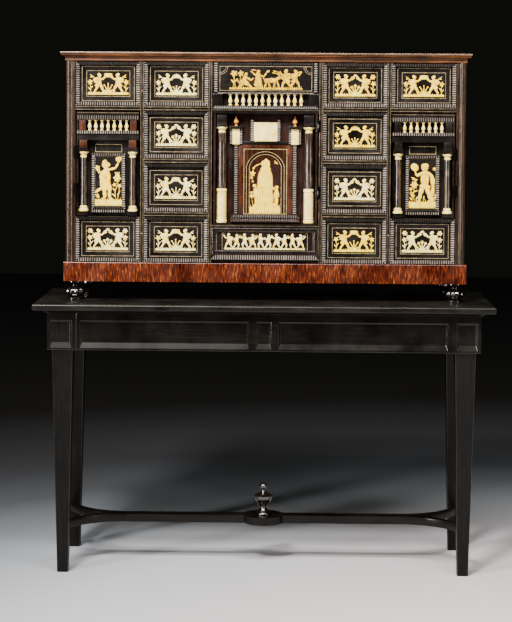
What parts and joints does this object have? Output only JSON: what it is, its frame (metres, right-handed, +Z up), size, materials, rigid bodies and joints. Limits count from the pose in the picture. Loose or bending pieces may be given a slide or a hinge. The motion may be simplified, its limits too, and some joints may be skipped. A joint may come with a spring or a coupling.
{
  "type": "coin cabinet",
  "caption": "Ebonised coin cabinet with ivory plaques, drawers, doors and a columned portal, on its own tapered-leg side table with a forked stretcher.",
  "frame": {"origin": "on the floor under the middle of the side table's top", "axes": "+Z up, -Y to the front where the doors and drawers are, +X to the right of someone who looks at the front"},
  "size_m": [1.3, 0.47, 1.484],
  "materials": {
    "ebonised_wood": "ebonised pearwood, polished satin",
    "ivory": "carved and engraved ivory or bone, aged cream",
    "plinth_veneer": "red-orange figured veneer, semi-gloss",
    "rosewood": "brown rosewood, polished",
    "light_wood": "plain light wood, waxed",
    "brass": "dull brass",
    "shell_veneer": "dark tortoiseshell veneer, glossy",
    "stained_bone": "stained bone, orange"
  },
  "bodies": {
    "cabinet": {"stand_top": "ebonised_wood", "stand_cove_moulding": "ebonised_wood", "stand_apron_rails": "ebonised_wood", "leg_front_left": "ebonised_wood", "leg_front_right": "ebonised_wood", "leg_back_left": "ebonised_wood", "leg_back_right": "ebonised_wood", "stretcher_fork_left": "ebonised_wood", "stretcher_fork_right": "ebonised_wood", "stretcher_bar": "ebonised_wood", "urn_finial": "ebonised_wood", "turned_feet": "ebonised_wood", "plinth": "plinth_veneer", "carcase_bottom": "light_wood", "carcase_side_left": "ebonised_wood", "carcase_side_right": "ebonised_wood", "carcase_top": "rosewood", "carcase_back": "light_wood", "cornice": "rosewood", "cover_board": "rosewood", "partitions": "ebonised_wood", "dust_boards": "ebonised_wood", "stile_mouldings": "rosewood", "tray_shelves": "light_wood", "fixed_hinge_leaves": "brass"},
    "drawer_a1": {"drawer_a1": "ebonised_wood"},
    "drawer_a4": {"drawer_a4": "ebonised_wood"},
    "drawer_b1": {"drawer_b1": "ebonised_wood"},
    "drawer_b2": {"drawer_b2": "ebonised_wood"},
    "drawer_b3": {"drawer_b3": "ebonised_wood"},
    "drawer_b4": {"drawer_b4": "ebonised_wood"},
    "drawer_c1": {"drawer_c1": "ebonised_wood"},
    "drawer_c2": {"drawer_c2": "ebonised_wood"},
    "drawer_c3": {"drawer_c3": "ebonised_wood"},
    "drawer_c4": {"drawer_c4": "ebonised_wood"},
    "drawer_d1": {"drawer_d1": "ebonised_wood"},
    "drawer_d4": {"drawer_d4": "ebonised_wood"},
    "frieze_drawer": {"frieze_drawer_front": "ebonised_wood", "frieze_drawer_balusters": "ivory", "frieze_drawer_box": "light_wood"},
    "low_drawer": {"low_drawer_front": "ebonised_wood", "low_drawer_box": "light_wood"},
    "centre_door": {"centre_door_leaf": "ebonised_wood", "centre_door_portal": "rosewood", "centre_door_shafts": "shell_veneer", "centre_door_ivories": "ivory", "centre_door_flames": "stained_bone", "centre_door_hinges": "brass"},
    "left_door": {"left_door_leaf": "ebonised_wood", "left_door_order": "ebonised_wood", "left_door_ivories": "ivory", "left_door_hinges": "brass"},
    "right_door": {"right_door_leaf": "ebonised_wood", "right_door_order": "ebonised_wood", "right_door_ivories": "ivory", "right_door_hinges": "brass"},
    "coin_tray_1": {"coin_tray_1": "light_wood"},
    "coin_tray_2": {"coin_tray_2": "light_wood"},
    "coin_tray_3": {"coin_tray_3": "light_wood"}
  },
  "joints": [
    {"name": "drawer_a1_slide", "type": "slide", "parent": "cabinet", "child": "drawer_a1", "axis": [0, -1, 0], "range_m": [0, 0.21]},
    {"name": "drawer_a4_slide", "type": "slide", "parent": "cabinet", "child": "drawer_a4", "axis": [0, -1, 0], "range_m": [0, 0.21]},
    {"name": "drawer_b1_slide", "type": "slide", "parent": "cabinet", "child": "drawer_b1", "axis": [0, -1, 0], "range_m": [0, 0.21]},
    {"name": "drawer_b2_slide", "type": "slide", "parent": "cabinet", "child": "drawer_b2", "axis": [0, -1, 0], "range_m": [0, 0.21]},
    {"name": "drawer_b3_slide", "type": "slide", "parent": "cabinet", "child": "drawer_b3", "axis": [0, -1, 0], "range_m": [0, 0.21]},
    {"name": "drawer_b4_slide", "type": "slide", "parent": "cabinet", "child": "drawer_b4", "axis": [0, -1, 0], "range_m": [0, 0.21]},
    {"name": "drawer_c1_slide", "type": "slide", "parent": "cabinet", "child": "drawer_c1", "axis": [0, -1, 0], "range_m": [0, 0.21]},
    {"name": "drawer_c2_slide", "type": "slide", "parent": "cabinet", "child": "drawer_c2", "axis": [0, -1, 0], "range_m": [0, 0.21]},
    {"name": "drawer_c3_slide", "type": "slide", "parent": "cabinet", "child": "drawer_c3", "axis": [0, -1, 0], "range_m": [0, 0.21]},
    {"name": "drawer_c4_slide", "type": "slide", "parent": "cabinet", "child": "drawer_c4", "axis": [0, -1, 0], "range_m": [0, 0.21]},
    {"name": "drawer_d1_slide", "type": "slide", "parent": "cabinet", "child": "drawer_d1", "axis": [0, -1, 0], "range_m": [0, 0.21]},
    {"name": "drawer_d4_slide", "type": "slide", "parent": "cabinet", "child": "drawer_d4", "axis": [0, -1, 0], "range_m": [0, 0.21]},
    {"name": "frieze_drawer_slide", "type": "slide", "parent": "cabinet", "child": "frieze_drawer", "axis": [0, -1, 0], "range_m": [0, 0.21]},
    {"name": "low_drawer_slide", "type": "slide", "parent": "cabinet", "child": "low_drawer", "axis": [0, -1, 0], "range_m": [0, 0.21]},
    {"name": "centre_door_hinge", "type": "hinge", "parent": "cabinet", "child": "centre_door", "pos_m": [0.1505, -0.111, 0], "axis": [0, 0, -1], "range_deg": [-170, 0]},
    {"name": "left_door_hinge", "type": "hinge", "parent": "cabinet", "child": "left_door", "pos_m": [-0.5405, -0.111, 0], "axis": [0, 0, 1], "range_deg": [-95, 0]},
    {"name": "right_door_hinge", "type": "hinge", "parent": "cabinet", "child": "right_door", "pos_m": [0.5405, -0.111, 0], "axis": [0, 0, -1], "range_deg": [-95, 0]},
    {"name": "coin_tray_1_slide", "type": "slide", "parent": "cabinet", "child": "coin_tray_1", "axis": [0, -1, 0], "range_m": [0, 0.066]},
    {"name": "coin_tray_2_slide", "type": "slide", "parent": "cabinet", "child": "coin_tray_2", "axis": [0, -1, 0], "range_m": [0, 0.066]},
    {"name": "coin_tray_3_slide", "type": "slide", "parent": "cabinet", "child": "coin_tray_3", "axis": [0, -1, 0], "range_m": [0, 0.066]}
  ],
  "couplings": [
    {"joint": "coin_tray_1_slide", "follows": "centre_door_hinge", "m_per_rad": -0.022},
    {"joint": "coin_tray_2_slide", "follows": "centre_door_hinge", "m_per_rad": -0.022},
    {"joint": "coin_tray_3_slide", "follows": "centre_door_hinge", "m_per_rad": -0.022}
  ]
}
